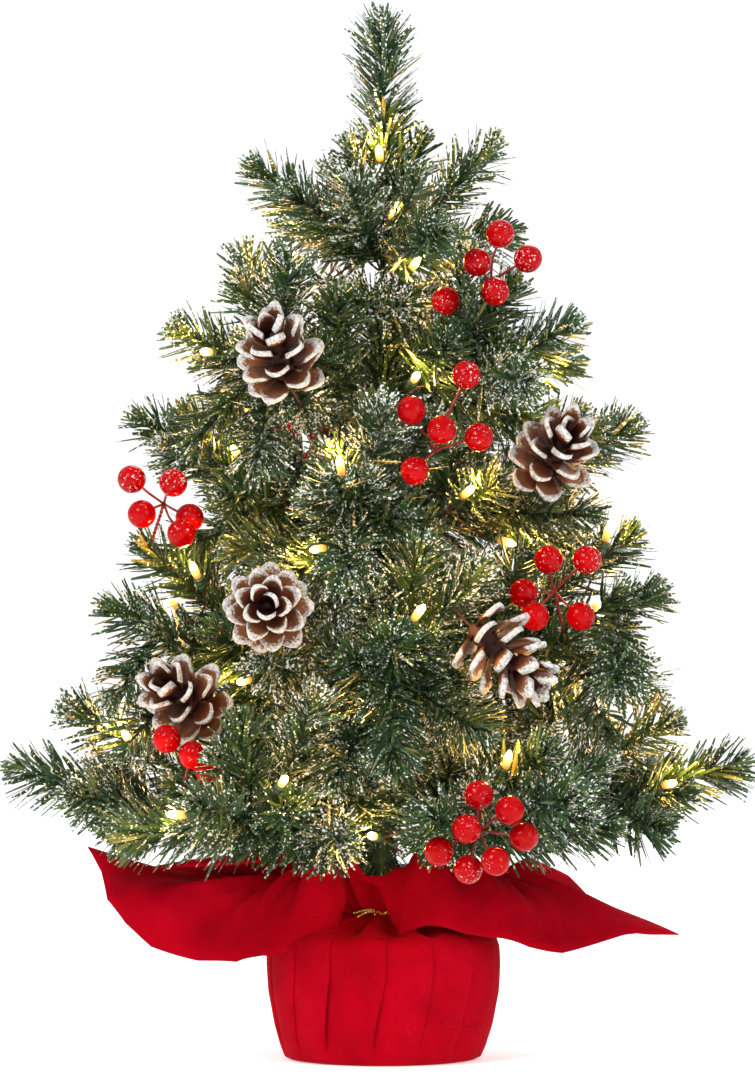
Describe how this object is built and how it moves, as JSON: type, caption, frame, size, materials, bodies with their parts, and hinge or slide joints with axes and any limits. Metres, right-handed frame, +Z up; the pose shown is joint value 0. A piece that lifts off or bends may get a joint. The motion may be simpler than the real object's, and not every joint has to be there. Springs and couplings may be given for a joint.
{
  "type": "artificial tabletop tree",
  "caption": "Small artificial conifer with wire-brush boughs, pine cones, red berries and mini lights, in a weighted pot wrapped in gathered red cloth.",
  "frame": {"origin": "middle of the underside of the cloth-wrapped base, on the surface it stands on", "axes": "+Z up along the trunk; -Y is the front, where the tie is; +X to the right"},
  "size_m": [0.4273, 0.3626, 0.606],
  "materials": {
    "needles": "matte",
    "light_string": "satin",
    "pine_cone": "satin",
    "berries": "gloss",
    "red_cloth": "matte",
    "pot": "satin",
    "cement": "matte",
    "gold_wire": "gloss",
    "trunk_wire": "satin",
    "trunk_tape": "matte",
    "case_plastic": "satin",
    "switch_plastic": "satin",
    "cell_jacket": "gloss",
    "contact_metal": "satin",
    "bulb_glass": "gloss",
    "holder_plastic": "satin",
    "brush_wire": "satin",
    "berry_stem": "satin",
    "snow": "matte"
  },
  "bodies": {
    "base": {"base_cloth": "red_cloth", "pot_shell": "pot", "cement_weight": "cement", "gold_tie": "gold_wire", "trunk_rod": "trunk_wire", "trunk_tape": "trunk_tape", "battery_case": "case_plastic", "aa_cells": "cell_jacket", "battery_contacts": "contact_metal", "light_lead": "light_string"},
    "battery_cover": {"battery_cover": "case_plastic"},
    "switch_knob": {"switch_knob": "switch_plastic"},
    "bough_a1": {"bough_a1": "needles", "pinecone_4": "pine_cone", "berry_pick_6": "berries", "lights_a1": "light_string"},
    "bough_a2": {"bough_a2": "needles", "lights_a2": "light_string"},
    "bough_a3": {"bough_a3": "needles", "berry_pick_5": "berries", "lights_a3": "light_string"},
    "bough_a4": {"bough_a4": "needles", "lights_a4": "light_string"},
    "bough_a5": {"bough_a5": "needles", "lights_a5": "light_string"},
    "bough_a6": {"bough_a6": "needles", "lights_a6": "light_string"},
    "bough_b1": {"bough_b1": "needles", "berry_pick_3": "berries", "lights_b1": "light_string"},
    "bough_b2": {"bough_b2": "needles", "pinecone_2": "pine_cone", "pinecone_3": "pine_cone", "lights_b2": "light_string"},
    "bough_b3": {"bough_b3": "needles", "berry_pick_4": "berries", "lights_b3": "light_string"},
    "bough_b4": {"bough_b4": "needles", "pinecone_6": "pine_cone", "lights_b4": "light_string"},
    "bough_c1": {"bough_c1": "needles", "lights_c1": "light_string"},
    "bough_c2": {"bough_c2": "needles", "berry_pick_2": "berries", "lights_c2": "light_string"},
    "bough_c3": {"bough_c3": "needles", "pinecone_5": "pine_cone", "lights_c3": "light_string"},
    "bough_c4": {"bough_c4": "needles", "berry_pick_7": "berries", "lights_c4": "light_string"},
    "bough_d1": {"bough_d1": "needles", "pinecone_1": "pine_cone", "lights_d1": "light_string"},
    "bough_d2": {"bough_d2": "needles", "berry_pick_1": "berries", "lights_d2": "light_string"},
    "bough_d3": {"bough_d3": "needles"},
    "leader": {"leader": "needles", "lights_leader": "light_string"}
  },
  "joints": [
    {"name": "bough_a1_lift", "type": "hinge", "parent": "base", "child": "bough_a1", "pos_m": [-0.00994, 0, 0.131], "axis": [0, 1, 0], "range_deg": [-6, 9]},
    {"name": "bough_a2_lift", "type": "hinge", "parent": "base", "child": "bough_a2", "pos_m": [-0.00516, -0.00859, 0.124], "axis": [-0.8572, 0.515, 0], "range_deg": [-6, 9]},
    {"name": "bough_a3_lift", "type": "hinge", "parent": "base", "child": "bough_a3", "pos_m": [0.00514, -0.00855, 0.128], "axis": [-0.8572, -0.515, 0], "range_deg": [-6, 9]},
    {"name": "bough_a4_lift", "type": "hinge", "parent": "base", "child": "bough_a4", "pos_m": [0.00994, 0, 0.131], "axis": [0, -1, 0], "range_deg": [-6, 9]},
    {"name": "bough_a5_lift", "type": "hinge", "parent": "base", "child": "bough_a5", "pos_m": [0.005, 0.00866, 0.126], "axis": [0.866, -0.5, 0], "range_deg": [-6, 9]},
    {"name": "bough_a6_lift", "type": "hinge", "parent": "base", "child": "bough_a6", "pos_m": [-0.00498, 0.00863, 0.129], "axis": [0.866, 0.5, 0], "range_deg": [-6, 9]},
    {"name": "bough_b1_lift", "type": "hinge", "parent": "base", "child": "bough_b1", "pos_m": [-0.00886, -0.0014, 0.212], "axis": [-0.1564, 0.9877, 0], "range_deg": [-7, 6]},
    {"name": "bough_b2_lift", "type": "hinge", "parent": "base", "child": "bough_b2", "pos_m": [0.00032, -0.00907, 0.203], "axis": [-0.9994, -0.0349, 0], "range_deg": [-7, 6]},
    {"name": "bough_b3_lift", "type": "hinge", "parent": "base", "child": "bough_b3", "pos_m": [0.00881, -0.00155, 0.214], "axis": [-0.1736, -0.9848, 0], "range_deg": [-7, 6]},
    {"name": "bough_b4_lift", "type": "hinge", "parent": "base", "child": "bough_b4", "pos_m": [0, 0.00904, 0.206], "axis": [1, 0, 0], "range_deg": [-7, 6]},
    {"name": "bough_c1_lift", "type": "hinge", "parent": "base", "child": "bough_c1", "pos_m": [-0.00784, 0.00138, 0.296], "axis": [0.1736, 0.9848, 0], "range_deg": [-7, 8]},
    {"name": "bough_c2_lift", "type": "hinge", "parent": "base", "child": "bough_c2", "pos_m": [-0.00168, -0.0079, 0.287], "axis": [-0.9781, 0.2079, 0], "range_deg": [-7, 8]},
    {"name": "bough_c3_lift", "type": "hinge", "parent": "base", "child": "bough_c3", "pos_m": [0.00791, 0.00028, 0.3], "axis": [0.0349, -0.9994, 0], "range_deg": [-7, 8]},
    {"name": "bough_c4_lift", "type": "hinge", "parent": "base", "child": "bough_c4", "pos_m": [0.00028, 0.00803, 0.29], "axis": [0.9994, -0.0349, 0], "range_deg": [-7, 8]},
    {"name": "bough_d1_lift", "type": "hinge", "parent": "base", "child": "bough_d1", "pos_m": [-0.00664, -0.00216, 0.378], "axis": [-0.309, 0.9511, 0], "range_deg": [-7, 9]},
    {"name": "bough_d2_lift", "type": "hinge", "parent": "base", "child": "bough_d2", "pos_m": [0.00634, -0.00282, 0.382], "axis": [-0.4067, -0.9135, 0], "range_deg": [-7, 9]},
    {"name": "bough_d3_lift", "type": "hinge", "parent": "base", "child": "bough_d3", "pos_m": [0.00049, 0.00702, 0.374], "axis": [0.9976, -0.0698, 0], "range_deg": [-7, 9]},
    {"name": "leader_lean", "type": "hinge", "parent": "base", "child": "leader", "pos_m": [0, 0, 0.446], "axis": [0, 1, 0], "range_deg": [-8, 8]},
    {"name": "battery_cover_slide", "type": "slide", "parent": "base", "child": "battery_cover", "axis": [0, 1, 0], "range_m": [0, 0.062]},
    {"name": "switch_slide", "type": "slide", "parent": "base", "child": "switch_knob", "axis": [1, 0, 0], "range_m": [0, 0.006]}
  ]
}
